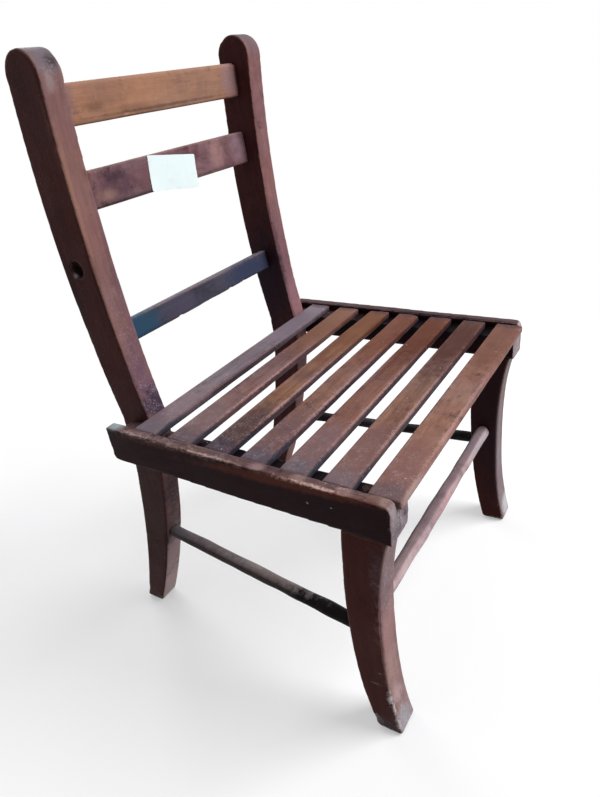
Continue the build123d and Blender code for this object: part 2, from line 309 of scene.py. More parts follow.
def woodFinish(name, look):
    look = {**woodDefaults, **look}
    material, tree, shader = startMaterial(name)
    coordinates = tree.add("ShaderNodeTexCoord")
    place = coordinates.outputs["Object"]
    stretched = tree.add("ShaderNodeMapping", Vector=place, Location=shiftedBy("grain", look["seed"]),
                         Scale=alongGrain(look["grain"], grainSqueeze["colour"])).outputs[0]
    shifted = tree.add("ShaderNodeMapping", Vector=place,
                       Location=shiftedBy("grime", look["seed"])).outputs[0]
    grain = tree.group("woodGrain", Vector=stretched)
    grime = tree.group("grime", Vector=shifted)
    facing = tree.group("facing", Normal=coordinates.outputs["Normal"])
    edge = tree.add("ShaderNodeAttribute", {"attribute_name": "edge"}).outputs["Fac"]
    torn = tree.add("ShaderNodeAttribute", {"attribute_name": "torn"}).outputs["Fac"]
    wear = tree.group("edgeWear", Vector=shifted, Edge=edge, Amount=look["wear"]).outputs[0]

    surface = tint(*look["base"])
    # painted light and shade: a tint for each facing that the look names stands in for the light and shade
    # on it; on tops it is partly worn finish too
    for side in facingRamp:
        if side.lower() in look:
            surface = tree.blend(facing.outputs[side], surface, tint(*look[side.lower()]))
    darker = tree.blend(look["figure"], surface, woodShade["figure"], "MULTIPLY")
    surface = tree.blend(grain.outputs["Figure"], darker, surface)
    for label, kind in (("Stain", "stain"), ("Warmth", "warmth")):
        amount = tree.math("MULTIPLY", grime.outputs[label], look[kind])
        surface = tree.blend(amount, surface, woodShade[kind], "MULTIPLY")
    film = tree.math("MULTIPLY", grime.outputs["Film"], look["film"])
    # painted shade: most of the film is left off the side faces, so that they stay dark
    if "side" in look:
        sideShade = tree.math("MULTIPLY", facing.outputs["Side"], look["sideClean"])
        film = tree.math("MULTIPLY", film, tree.math("SUBTRACT", 1.0, sideShade))
    surface = tree.blend(film, surface, tint(*look["filmTint"]))
    blotch = tree.math("MULTIPLY", grime.outputs["Blotch"], look["blotch"])
    surface = tree.blend(blotch, surface, tint(*look["blotchTint"]))
    surface = tree.blend(tree.math("MULTIPLY", wear, look["bare"]), surface, tint(*look["wornTint"]))
    surface = tree.blend(tree.math("MULTIPLY", torn, look["bareTorn"]), surface, tint(*look["tornTint"]))
    surface = addMarks(tree, surface, look, place, grime, facing)
    specks = tree.math("MULTIPLY", grime.outputs["Specks"], look["specks"])
    tree.feed(shader, "Base Color", tree.blend(specks, surface, tint(*look["speckTint"])))

    filmRough = tree.math("MULTIPLY", grime.outputs["Film"], oldVarnish["filmRoughness"])
    poreRough = tree.math("MULTIPLY", grain.outputs["Pores"], oldVarnish["poreRoughness"])
    rough = tree.math("ADD", tree.math("ADD", oldVarnish["roughness"], filmRough), poreRough)
    wornRough = tree.math("MULTIPLY", wear, oldVarnish["wornRoughness"])
    tree.feed(shader, "Roughness", tree.math("MAXIMUM", rough, wornRough, clamp=True))
    shader.inputs["Specular IOR Level"].default_value = oldVarnish["specular"]
    height = tree.math("MULTIPLY", grain.outputs["Pores"], reliefHeight["pores"])
    for mask, kind in ((grain.outputs["Figure"], "figure"), (grime.outputs["Blotch"], "blotch"),
                       (specks, "specks")):
        height = tree.math("ADD", height, tree.math("MULTIPLY", mask, reliefHeight[kind]))
    addBump(tree, shader, height, oldVarnish["bump"], oldVarnish["bumpDistance"])
    return material


# worn copies of the wooden pieces; a shape's lengths are metres, its marks millimetres of the seat frame
wornCopy = {"merge": 1e-6, "smooth": 0.5}
nailPlug = {"fromEnd": 0.014, "reach": 0.0045}
cornerSense = {"rounds": 12, "smooth": 0.5, "full": 0.0009}
biteEdge = {"reach": 1.6, "ragged": 0.5, "noiseScale": 160, "steepness": 0.7}
fibreShape = {"fibreScale": (500, 70, 500), "tornScale": (60, 110, 60), "tornShift": Vector((5, 0, 0)),
              "least": 0.1, "fibreShare": 0.8, "tornShare": 1.1}
wearNoise = {"wave": 14, "knobs": 24, "ripple": 90, "nick": 60, "nickFrom": 0.12, "tornFrom": 0.0016}
shapeDefaults = {"voxel": 0.0018, "rounding": 2, "wave": 0.0003, "knobs": 0.0, "ripple": 0.00015,
                 "nick": 0.003, "ease": 0.0003, "bites": [], "splinters": []}


def mergedCopy(node):
    # the CAD piece with its loose triangles joined
    bm = bmesh.new()
    bm.from_mesh(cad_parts[node].data)
    bmesh.ops.remove_doubles(bm, verts=bm.verts, dist=wornCopy["merge"])
    return bm


def objectFrom(bm, name):
    mesh = bpy.data.meshes.new(name)
    bm.to_mesh(mesh)
    bm.free()
    piece = bpy.data.objects.new(name, mesh)
    bpy.context.scene.collection.objects.link(piece)
    return piece


def evenCopy(node, voxel, rounding, plugs):
    # the CAD piece remeshed in small even faces, its edges eased and its nail holes closed
    bm = mergedCopy(node)
    for plug in plugs:
        rim = [v for v in bm.verts if math.hypot(v.co.x - plug.x, v.co.y - plug.y) < nailPlug["reach"]]
        bmesh.ops.delete(bm, geom=rim, context="VERTS")
    if plugs:
        bmesh.ops.holes_fill(bm, edges=bm.edges)
        bmesh.ops.triangulate(bm, faces=bm.faces)
    piece = objectFrom(bm, node + "_worn")
    start = piece.data
    remesh = piece.modifiers.new("even", "REMESH")
    remesh.mode = "VOXEL"
    remesh.voxel_size = voxel
    smooth = piece.modifiers.new("eased", "SMOOTH")
    smooth.factor = wornCopy["smooth"]
    smooth.iterations = rounding
    graph = bpy.context.evaluated_depsgraph_get()
    even = bpy.data.meshes.new_from_object(piece.evaluated_get(graph))
    piece.modifiers.clear()
    piece.data = even
    bpy.data.meshes.remove(start)
    return piece


def cornerValues(bm):
    # how far each point stands out of a smoothed copy: 1 on a sharp corner, 0 on a flat face
    soft = bm.copy()
    for turn in range(cornerSense["rounds"]):
        bmesh.ops.smooth_vert(soft, verts=soft.verts, factor=cornerSense["smooth"],
                              use_axis_x=True, use_axis_y=True, use_axis_z=True)
    values = []
    for vert, softened in zip(bm.verts, soft.verts):
        out = (vert.co - softened.co).dot(vert.normal)
        values.append(min(1.0, max(0.0, out / cornerSense["full"])))
    soft.free()
    return values


def shareOut(point, centre, size):
    # how far out of a mark the point lies: 0 at its centre, 1 at its half extents
    away = point - centre
    return math.sqrt(sum((away[i] / size[i]) ** 2 for i in range(3)))


def biteDepth(point, bites):
    # how deep the dents and chips listed for the piece cut in at this point
    depth = 0.0
    for centre, size, deep in bites:
        share = shareOut(point, centre, size)
        if share < biteEdge["reach"]:
            share += biteEdge["ragged"] * noise.noise(point * biteEdge["noiseScale"])
            depth = max(depth, deep * max(0.0, 1 - share) ** biteEdge["steepness"])
    return depth


def scaled(point, scale):
    return Vector([point[i] * scale[i] for i in range(3)])


def splinterDepth(point, splinters):
    # long fibres torn out along y, each a few millimetres wide
    depth = 0.0
    for centre, size, deep in splinters:
        share = shareOut(point, centre, size)
        if share < 1:
            fibre = noise.noise(scaled(point, fibreShape["fibreScale"]))
            torn = noise.noise(scaled(point, fibreShape["tornScale"]) + fibreShape["tornShift"])
            loose = fibreShape["least"] + fibreShape["fibreShare"] * fibre + fibreShape["tornShare"] * torn
            depth = max(depth, deep * (1 - share * share) * max(0.0, loose))
    return depth


def inSeatFrame(marks):
    # marks are listed in millimetres of the seat frame: centre, half extents, depth
    return [(seatPoint(*centre), fromSeat(size), deep / 1000) for centre, size, deep in marks]


def roundSole(bm, sole):
    # the foot draws in towards the floor, as far as a quarter round of the sole's radius
    low = [vert for vert in bm.verts if vert.co.z < sole["radius"]]
    middle = sum((vert.co for vert in low), Vector()) / len(low)
    for vert in low:
        rise = 1 - vert.co.z / sole["radius"]
        inset = sole["radius"] * (1 - math.sqrt(max(0.0, 1 - rise * rise)))
        share = 1 - inset / sole["halfWidth"]
        vert.co.x = middle.x + (vert.co.x - middle.x) * share
        vert.co.y = middle.y + (vert.co.y - middle.y) * share


def wearDown(piece, shape):
    # the surface waves and ripples, corners are nicked, and bites and splinters cut in
    bm = bmesh.new()
    bm.from_mesh(piece.data)
    bm.normal_update()
    corners = cornerValues(bm)
    edgeLayer = bm.verts.layers.float.new("edge")
    tornLayer = bm.verts.layers.float.new("torn")
    stretch = Vector(alongGrain(shape["grain"], grainSqueeze["shape"]))
    shift = Vector((shape["seed"], shape["seed"] * 2, shape["seed"] * 3))
    bites = inSeatFrame(shape["bites"])
    splinters = inSeatFrame(shape["splinters"])
    changes = []
    for vert, corner in zip(bm.verts, corners):
        point = vert.co
        drawn = point * stretch + shift
        move = noise.noise(drawn * wearNoise["wave"]) * shape["wave"]
        move += noise.noise(point * wearNoise["knobs"] + shift) * shape["knobs"]
        move += noise.noise(drawn * wearNoise["ripple"]) * shape["ripple"]
        nick = max(0.0, noise.noise(drawn * wearNoise["nick"]) - wearNoise["nickFrom"])
        nick *= corner * shape["nick"]
        nick += corner * corner * shape["ease"]
        cut = biteDepth(point, bites) + splinterDepth(point, splinters)
        changes.append((vert.normal * (move - nick - cut), min(1.0, cut / wearNoise["tornFrom"])))
    for vert, corner, (move, torn) in zip(bm.verts, corners, changes):
        vert.co += move
        vert[edgeLayer] = corner
        vert[tornLayer] = torn
    if "sole" in shape:
        roundSole(bm, shape["sole"])
    bm.to_mesh(piece.data)
    bm.free()
    for face in piece.data.polygons:
        face.use_smooth = True


def finishPiece(piece, node, material):
    piece.data.materials.clear()
    piece.data.materials.append(material)
    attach(piece, "root")
    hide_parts(node)


def makeWood(node, look, shape, plugs=()):
    # look and shape are one dictionary each; the grain and seed are the look's
    shape = {**shapeDefaults, **shape, "grain": look["grain"], "seed": look["seed"]}
    piece = evenCopy(node, shape["voxel"], shape["rounding"], plugs)
    wearDown(piece, shape)
    finishPiece(piece, node, woodFinish(node + "_finish", look))
    print(node, "done,", len(piece.data.polygons), "faces")


# stiles: back post and rear leg in one
# a mark is its centre, half extents, colour and strength, and the one facing that it keeps to, if any
# the stiles' side, front and top tints paint light and shade: dark shaded sides, lit fronts, tops partly
# lit and partly worn
stileLook = {"grain": "z", "base": (84, 50, 44), "side": (93, 53, 52), "front": (145, 110, 109),
             "top": (98, 82, 86), "film": 0.3, "filmTint": (120, 92, 104), "stain": 0.5, "warmth": 0.4,
             "wear": 0.9}
stileShape = {"voxel": 0.0017, "wave": 0.0004, "sole": {"radius": 0.006, "halfWidth": 0.018}}
rightStileLook = {
    **stileLook, "seed": 1.3,
    "spots": [
        ((-198, 236, 460), (40, 60, 34), (104, 95, 101), 0.8, "Top"),
        ((-196, 212, 452), (24, 20, 20), (102, 97, 105), 0.8, "Front"),
        ((-192, 212, 452), (13, 12, 12), (56, 48, 54), 0.85),
        ((-204, 204, 432), (9, 8, 16), (164, 150, 150), 0.6),
        ((-202, 208, 350), (24, 16, 110), (142, 104, 98), 0.5),
        ((-213, 206, 260), (6, 8, 200), (174, 130, 112), 0.45),
        ((-200, 188, 70), (26, 16, 84), (102, 78, 98), 0.7),
        # painted shade where the stile meets the seat
        ((-192, 184, 8), (30, 14, 46), (58, 48, 66), 0.9),
        ((-216, 190, 78), (4, 5, 60), (200, 168, 152), 0.7),
        ((-184, 205, 150), (8, 20, 220), (116, 86, 98), 0.5),
        # painted shade inside the arm socket, spreading a little round its mouth
        ((-211, 243, 213), (30, 17, 17), (18, 14, 16), 1.0),
        ((-215, 250, 206), (5, 5, 6), (226, 224, 228), 0.75),
        ((-215, 236, 221), (4, 4, 5), (150, 146, 150), 0.6),
        ((-217, 262, 190), (3, 14, 60), (26, 16, 18), 0.5),
        # painted shade on the front of the rear leg, under the seat
        ((-199, 206, -120), (26, 24, 100), (70, 54, 60), 0.8),
        ((-188, 218, -150), (14, 20, 60), (122, 102, 112), 0.6),
        ((-199, 244, -300), (60, 60, 62), (228, 196, 198), 0.8, "Front"),
        ((-199, 276, -385), (60, 60, 110), (242, 210, 210), 0.9, "Front"),
        # painted shade on the outer face of the rear leg
        ((-217, 250, -240), (10, 90, 260), (56, 28, 30), 0.7, "Side"),
    ],
    "chips": [
        ((-194, 290, -428), (30, 22, 26), (240, 232, 232), 1.0),
        ((-184, 222, -252), (9, 14, 12), (226, 212, 212), 0.9),
        ((-196, 216, -232), (22, 14, 14), (168, 152, 156), 0.7),
    ],
    "dust": [
        ((-200, 184, 30), (26, 12, 60), (172, 154, 166), 0.8),
        ((-200, 200, 110), (26, 16, 110), (176, 146, 150), 0.45),
        ((-200, 210, 440), (24, 20, 30), (176, 160, 162), 0.5),
        ((-199, 216, -200), (40, 40, 160), (166, 146, 152), 0.7, "Front"),
        ((-199, 280, -400), (40, 40, 50), (236, 216, 216), 0.7, "Front"),
    ],
}
rightStileShape = {**stileShape, "bites": [
    ((-217, 190, 60), (4, 4, 26), 1.2), ((-217, 254, 206), (4, 4, 5), 0.8)]}
makeWood("stile_right", rightStileLook, rightStileShape)
leftStileLook = {
    # its front tint is painted light as well
    **stileLook, "seed": 2.3, "front": (152, 110, 109),
    "spots": [
        # painted shade inside the arm socket, spreading a little round its mouth
        ((211, 243, 213), (30, 17, 17), (18, 14, 16), 1.0),
        ((199, 200, 120), (26, 16, 120), (112, 80, 92), 0.6),
        ((199, 236, 460), (40, 60, 34), (100, 88, 94), 0.7, "Top"),
        ((199, 212, 452), (24, 20, 20), (100, 88, 94), 0.7, "Front"),
        # painted shade on the stile's inner face, which looks away from the light
        ((184, 226, 70), (14, 60, 150), (46, 34, 46), 0.9),
        ((199, 188, 30), (26, 16, 60), (150, 112, 122), 0.6, "Front"),
    ],
    "dust": [((199, 205, 200), (26, 20, 260), (158, 132, 140), 0.35)],
}
makeWood("stile_left", leftStileLook, stileShape)

# front legs
# the legs' side and front tints paint light and shade: dark shaded sides, lit fronts
legLook = {"grain": "z", "base": (84, 50, 44), "side": (90, 45, 40), "front": (166, 132, 130),
           "warmth": 0.3, "film": 0.25, "filmTint": (146, 122, 126), "stain": 0.45}
legShape = {"wave": 0.0004, "sole": {"radius": 0.006, "halfWidth": 0.02}}
rightLegLook = {
    **legLook, "seed": 4.1,
    "spots": [
        ((-246, -204, -290), (26, 12, 70), (190, 152, 146), 0.5),
        ((-245, -197, -215), (26, 18, 60), (172, 124, 124), 0.6),
        ((-245, -203, -115), (30, 22, 84), (118, 94, 100), 0.8),
        ((-246, -207, -336), (18, 10, 20), (200, 170, 174), 0.5, "Front"),
        ((-246, -216, -388), (30, 22, 36), (162, 156, 164), 0.9, "Front"),
        ((-264, -190, -390), (8, 28, 18), (96, 86, 92), 0.6, "Side"),
    ],
    "chips": [
        ((-264, -178, -388), (6, 15, 15), (220, 220, 224), 0.85),
        ((-264, -192, -402), (6, 16, 8), (200, 200, 206), 0.8),
        ((-262, -203, -332), (5, 6, 24), (246, 240, 240), 0.95),
        ((-261, -208, -354), (4, 6, 18), (222, 214, 216), 0.8),
        ((-261, -213, -382), (5, 6, 26), (226, 220, 224), 0.85),
        ((-264, -191, -286), (2, 8, 3), (176, 150, 150), 0.6),
        ((-264, -186, -310), (2, 16, 3), (150, 128, 130), 0.6),
        ((-243, -208, -400), (40, 30, 10), (206, 202, 206), 0.7),
    ],
    "dust": [
        ((-246, -212, -370), (26, 20, 60), (226, 222, 226), 0.6),
        ((-246, -200, -150), (26, 24, 110), (196, 176, 182), 0.7),
        ((-246, -198, -280), (26, 20, 70), (110, 84, 86), 0.6),
    ],
}
rightLegShape = {**legShape, "bites": [
    ((-264, -180, -392), (6, 12, 12), 2.4), ((-263, -202, -330), (4, 5, 13), 1.8),
    ((-263, -212, -380), (4, 6, 16), 1.6)]}
makeWood("front_leg_right", rightLegLook, rightLegShape)
leftLegLook = {
    # its front tint is painted light as well
    **legLook, "seed": 5.1, "front": (138, 120, 122),
    "spots": [
        ((240, -206, -290), (34, 14, 90), (140, 124, 130), 0.6),
        ((250, -214, -384), (26, 24, 34), (206, 204, 210), 0.9),
        ((226, -203, -240), (6, 8, 170), (176, 160, 168), 0.6),
        # painted shade on the inner face of the far front leg
        ((222, -190, -180), (12, 60, 230), (50, 36, 44), 0.8),
    ],
    "chips": [((232, -204, -404), (30, 34, 12), (230, 228, 232), 0.9)],
    "dust": [((240, -212, -370), (30, 20, 60), (226, 222, 226), 0.5)],
}
makeWood("front_leg_left", leftLegLook, legShape)

# side rails
# the rails' side, top and front tints paint light and shade: a near-black shaded outer face, a lit top and
# front end
railLook = {"grain": "y", "base": (74, 46, 42), "side": (46, 20, 27), "top": (96, 72, 72),
            "front": (172, 158, 164), "film": 0.3, "filmTint": (72, 56, 62), "stain": 0.8, "blotch": 0.85,
            "wear": 0.8, "wornTint": (158, 126, 120), "tornTint": (158, 132, 130), "warmth": 0.3}
railShape = {"voxel": 0.0014, "wave": 0.0004, "nick": 0.004}
rightRailLook = {
    **railLook, "seed": 7.7,
    "spots": [
        ((-265, -90, -6), (6, 175, 10), (112, 64, 52), 0.85),
        ((-265, 120, -5), (5, 100, 7), (92, 62, 56), 0.6),
        ((-262, 120, 0), (10, 90, 6), (112, 90, 90), 0.6),
        ((-252, -206, 0), (16, 22, 6), (128, 98, 90), 0.6),
        # painted shade on the rebate ledge under the slat ends and on the rail's inner face
        ((-233, 20, -24), (30, 310, 22), (16, 12, 16), 2.0, "Top"),
        ((-233, 20, -24), (24, 290, 30), (16, 12, 16), 1.5, "Side"),
        ((-257, 140, 0), (12, 13, 6), (60, 48, 56), 0.8),
        ((-257, 25, 0), (12, 26, 6), (82, 68, 72), 0.6),
        ((-257, -42, 0), (9, 16, 6), (154, 128, 128), 0.6),
        ((-256, -100, 0), (9, 12, 6), (148, 122, 116), 0.5),
        ((-256, -160, 0), (9, 16, 6), (150, 120, 116), 0.5),
        ((-254, -212, 0), (16, 12, 8), (150, 126, 120), 0.6),
        ((-240, 208, 0), (40, 20, 7), (142, 150, 157), 1.0),
        ((-242, -220, -28), (1.2, 6, 24), (44, 34, 36), 0.8),
        ((-250, -220, -44), (18, 6, 10), (96, 84, 92), 0.6),
        ((-265, -115, -26), (2, 2, 2), (190, 180, 178), 0.9),
        ((-265, -147, -23), (2, 2, 1.6), (180, 170, 168), 0.9),
    ],
    "chips": [
        ((-258, 150, 1), (9, 80, 6), (146, 120, 116), 0.6),
        ((-263, 30, 0), (5, 120, 4), (186, 154, 146), 0.75),
        ((-263, -130, 0), (5, 96, 4), (204, 170, 160), 0.75),
        ((-262, 160, 0), (5, 60, 4), (168, 142, 136), 0.7),
        ((-246, -150, 1), (8, 70, 5), (64, 44, 44), 0.6),
        ((-255, -215, -4), (15, 9, 10), (92, 68, 64), 0.6),
        ((-250, -221, -36), (14, 5, 20), (96, 86, 92), 0.5),
    ],
    "dust": [
        ((-257, 60, 1), (12, 260, 6), (170, 150, 148), 0.6),
        ((-257, -150, 1), (12, 90, 6), (190, 166, 162), 0.6),
        ((-250, -222, -30), (30, 8, 40), (206, 196, 200), 0.8),
    ],
}
rightRailShape = {**railShape, "splinters": [
    ((-264, 120, 2), (10, 95, 12), 3.4), ((-264, 20, 2), (9, 90, 10), 2.8),
    ((-264, -90, 2), (8, 110, 9), 2.2), ((-263, -180, 2), (7, 45, 7), 1.6)]}
makeWood("side_rail_right", rightRailLook, rightRailShape)
leftRailLook = {
    # its top tint is painted light as well
    **railLook, "seed": 8.7, "top": (80, 62, 65),
    "spots": [
        # painted shade on the rebate ledge and on the rail's inner face
        ((233, 0, -24), (30, 420, 22), (16, 12, 16), 2.0, "Top"),
        ((233, 0, -24), (24, 420, 30), (16, 12, 16), 2.0, "Side"),
    ],
}
makeWood("side_rail_left", leftRailLook, railShape)

# seat slats
slatLook = {"grain": "x", "wear": 1.1, "wornTint": (146, 114, 108), "filmTint": (98, 80, 90), "stain": 0.85,
            "figure": 0.7, "blotch": 0.8, "specks": 0.9}
slatShape = {"voxel": 0.0016}
slatSeed = {"first": 11.5, "step": 1.7}
slatTints = {  # a colour for each slat, from the back of the seat to its front
    "base": [(122, 110, 119), (128, 97, 94), (139, 103, 82), (141, 104, 88), (136, 92, 70), (136, 104, 90),
             (154, 116, 98)],
    # painted shade on the front faces of the slats, which look into the gaps; the front slat's front face
    # is painted light
    "front": [(68, 56, 66), (86, 64, 70), (72, 56, 66), (58, 46, 56), (58, 46, 54), (66, 52, 60),
              (186, 142, 130)],
    "nearHalf": [(122, 102, 108), (110, 88, 90), (46, 30, 40), (92, 68, 74), (112, 88, 92), (116, 84, 80),
                 (122, 86, 82)],
    "nearEnd": [(108, 98, 108), (84, 72, 80), (52, 46, 60), (74, 68, 80), (92, 84, 92), (104, 90, 96),
                (90, 74, 78)],
    "farHalf": [(120, 108, 120), (119, 80, 60), (104, 62, 38), (94, 50, 36), (76, 34, 20), (62, 26, 18),
                (100, 64, 54)],
    # painted shade at the near end of the front faces, in the gaps, and painted light on the front slat
    "frontEndShading": [(38, 44, 58)] * 6 + [(176, 148, 142)],
    "frontScuff": [(84, 64, 78)] + [(186, 148, 144)] * 6,
}


def seatY(y):
    # millimetres along the seat
    return (y - seatPlane["y"]) * 1000


def slatMarks(tints, low, high, nailX):
    # the ends of a slat, the sitter's right one greyer and dusty, its filled nail holes, a scuffed front
    # edge and a darker back edge
    front, middle, back = seatY(low.y), seatY((low.y + high.y) / 2), seatY(high.y)
    spots = [((-190, middle, -3), (100, 44, 14), tints["nearHalf"], 0.75),
             ((-240, middle, -3), (32, 40, 14), tints["nearEnd"], 0.8),
             ((172, middle, -3), (180, 44, 14), tints["farHalf"], 0.8),
             # painted shade at the far end, beside the rail's lip
             ((244, middle, -3), (16, 30, 14), (70, 56, 62), 0.7),
             # painted shade on the front face at the near end; painted light on the front slat
             ((-214, front, -9), (44, 5, 9), tints["frontEndShading"], 0.75)]
    for x in (-nailX, nailX):
        spots.append(((x * 1000, middle, -2.5), (3, 3, 3), (56, 42, 44), 0.25))
    dust = [((-215, middle, -3), (60, 30, 14), (160, 148, 154), 0.45),
            ((-120, middle, -3), (110, 30, 14), (162, 142, 144), 0.25),
            ((-60, front + 4, -3), (190, 5, 6), (186, 152, 156), 0.5),
            ((-40, back - 4, -3), (200, 5, 6), (176, 146, 150), 0.5)]
    scuffs = [((-70, front + 2, -3), (200, 3.5, 6), tints["frontScuff"], 0.4),
              ((-80, back - 2, -3), (180, 3.5, 6), (60, 44, 54), 0.6)]
    return {"spots": spots, "dust": dust, "chips": scuffs}


for number in range(len(slatTints["base"])):
    node = "slat_" + str(number + 1)
    low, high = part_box(node)
    nailX = high.x - nailPlug["fromEnd"]
    plugs = [Vector((side * nailX, (low.y + high.y) / 2, 0)) for side in (-1, 1)]
    tints = {place: shades[number] for place, shades in slatTints.items()}
    look = {**slatLook, **slatMarks(tints, low, high, nailX), "base": tints["base"],
            "front": tints["front"], "seed": slatSeed["first"] + slatSeed["step"] * number}
    makeWood(node, look, slatShape, plugs)

# back rails
backLook = {"grain": "x", "film": 0.3}
backSeed = {"first": 31.5, "step": 2.1}
backRails = {
    "top": {
        "look": {"base": (174, 131, 108), "stain": 0.35, "figure": 0.35, "spots": [
            ((-30, 228, 411), (80, 14, 34), (190, 138, 104), 0.5),
            ((-172, 236, 411), (24, 20, 40), (136, 104, 106), 0.7),
            ((-125, 228, 400), (26, 12, 9), (92, 62, 54), 0.6),
            ((-60, 228, 392), (60, 12, 8), (120, 84, 68), 0.5),
            ((164, 236, 412), (34, 20, 40), (146, 118, 124), 0.75),
            # painted shade where the rail meets the post
            ((178, 232, 411), (4, 14, 34), (58, 44, 50), 0.6),
            ((0, 232, 388), (190, 14, 3), (78, 54, 50), 0.6)]},
        "bites": [((-72, 230, 387), (6, 10, 3), 2.2), ((-60, 230, 387), (4, 10, 3), 1.6),
                  ((30, 230, 387), (9, 8, 3), 1.0)]},
    "middle": {
        "look": {"base": (138, 105, 111), "stain": 1.0, "blotch": 0.9, "warmth": 0.3, "spots": [
            ((-124, 228, 308), (50, 20, 40), (80, 58, 70), 0.75),
            ((-118, 230, 314), (30, 14, 12), (66, 46, 54), 0.75),
            ((-140, 230, 294), (26, 14, 12), (158, 122, 110), 0.75),
            # painted shade where the rail meets the post
            ((-170, 230, 303), (12, 14, 30), (64, 48, 58), 0.8),
            ((-60, 230, 306), (50, 14, 30), (112, 70, 74), 0.5),
            ((160, 230, 308), (34, 14, 34), (150, 122, 134), 0.75),
            ((100, 228, 308), (30, 20, 40), (180, 138, 136), 0.55),
            ((0, 230, 283), (190, 14, 3), (66, 48, 52), 0.6)]},
        "bites": [((-150, 230, 282), (10, 8, 4), 1.5), ((90, 230, 282), (16, 8, 3), 1.2),
                  ((118, 230, 332), (5, 9, 3), 1.8)]},
    "lower": {
        # the lower rail's lighter top is painted light
        "look": {"base": (74, 75, 89), "top": (120, 112, 122), "stain": 0.9, "blotch": 0.9,
                 "warmth": 0.0, "spots": [
            ((-150, 222, 106), (60, 20, 44), (44, 76, 100), 0.9),
            ((-60, 222, 106), (60, 20, 30), (78, 72, 92), 0.7),
            ((120, 222, 106), (100, 20, 30), (52, 60, 86), 0.85)]},
        "bites": [((-64, 220, 91), (7, 14, 4), 2.6), ((63, 220, 91), (8, 14, 4), 2.4),
                  ((104, 220, 91), (9, 14, 4), 2.0), ((0, 220, 91), (24, 14, 3), 1.2)]},
}
for number, (height, rail) in enumerate(backRails.items()):
    look = {**backLook, **rail["look"], "seed": backSeed["first"] + backSeed["step"] * number}
    makeWood("back_rail_" + height, look, {"bites": rail["bites"], "nick": 0.004})

# stretchers
stretcherShape = {"voxel": 0.0014, "wave": 0.0008, "knobs": 0.0013}
stretcherSeed = {"first": 41.5, "step": 2.1}
stretcherLooks = {
    "front_stretcher": {
        # the top and back tints paint the shade under the seat, the front tint the light on the lit face
        "grain": "x", "base": (168, 147, 151), "top": (150, 131, 135), "front": (206, 182, 186),
        "back": (60, 50, 54), "warmth": 0.1, "blotch": 0.3, "blotchTint": (126, 98, 100), "spots": [
            ((0, -182, -208), (66, 14, 16), (214, 158, 158), 0.4),
            ((172, -182, -205), (76, 18, 18), (190, 182, 192), 0.5, "Front"),
            ((76, -178, -202), (11, 20, 20), (116, 96, 100), 0.6),
            ((-212, -178, -202), (26, 20, 20), (116, 92, 96), 0.6)]},
    "side_stretcher_right": {
        # its lighter top is painted light
        "grain": "y", "base": (92, 81, 81), "top": (154, 144, 144), "warmth": 0.2, "spots": [
            ((-239, -150, -236), (34, 166, 34), (24, 20, 22), 1.3),
            ((-208, 200, -240), (30, 40, 20), (118, 120, 126), 0.6, "Top")]},
    # painted shade: the far stretcher, seen under the seat, is tinted near black
    "side_stretcher_left": {"grain": "y", "base": (34, 30, 32), "top": (40, 36, 38)},
}
for number, (node, look) in enumerate(stretcherLooks.items()):
    look = {**look, "seed": stretcherSeed["first"] + stretcherSeed["step"] * number}
    makeWood(node, look, stretcherShape)


# nails, dowels and the label
nailSteel = {"rust": {"scale": 900.0, "detail": 5.0, "ramp": (0.42, 0.6)}, "steelTint": (70, 66, 68),
             "rustTint": (84, 50, 36), "metallic": 0.85, "rustMetallic": 0.8, "roughness": 0.45,
             "rustRoughness": 0.4, "bump": 0.3, "bumpDistance": 0.0002}
dowelLook = {"grain": "x", "base": (150, 116, 86), "seed": 51.0}
labelPaper = {"fibres": {"scale": 1400.0, "detail": 3.0},
              "smudge": {"scale": 60.0, "detail": 6.0, "ramp": (0.52, 0.75)}, "smudgeShare": 0.3,
              "tint": (240, 254, 255), "smudgeTint": (212, 228, 233), "roughness": 0.5, "bump": 0.2,
              "bumpDistance": 0.0002}
labelSheet = {"curl": 0.0022, "spacing": 0.004, "flatShare": 0.5}


def steelFinish():
    material, tree, shader = startMaterial("nail_steel_finish")
    place = tree.add("ShaderNodeTexCoord").outputs["Object"]
    rust = tree.cloud(place, **nailSteel["rust"])
    dull = tree.math("MULTIPLY", rust, nailSteel["rustMetallic"])
    rough = tree.math("MULTIPLY", rust, nailSteel["rustRoughness"])
    colour = tree.blend(rust, tint(*nailSteel["steelTint"]), tint(*nailSteel["rustTint"]))
    tree.feed(shader, "Base Color", colour)
    tree.feed(shader, "Metallic", tree.math("SUBTRACT", nailSteel["metallic"], dull))
    tree.feed(shader, "Roughness", tree.math("ADD", nailSteel["roughness"], rough))
    addBump(tree, shader, rust, nailSteel["bump"], nailSteel["bumpDistance"])
    return material


def paperFinish():
    material, tree, shader = startMaterial("label_paper_finish")
    place = tree.add("ShaderNodeTexCoord").outputs["Object"]
    fibres = tree.noise(place, **labelPaper["fibres"])
    smudge = tree.math("MULTIPLY", tree.cloud(place, **labelPaper["smudge"]), labelPaper["smudgeShare"])
    paper = tree.blend(smudge, tint(*labelPaper["tint"]), tint(*labelPaper["smudgeTint"]))
    tree.feed(shader, "Base Color", paper)
    shader.inputs["Roughness"].default_value = labelPaper["roughness"]
    addBump(tree, shader, fibres, labelPaper["bump"], labelPaper["bumpDistance"])
    return material


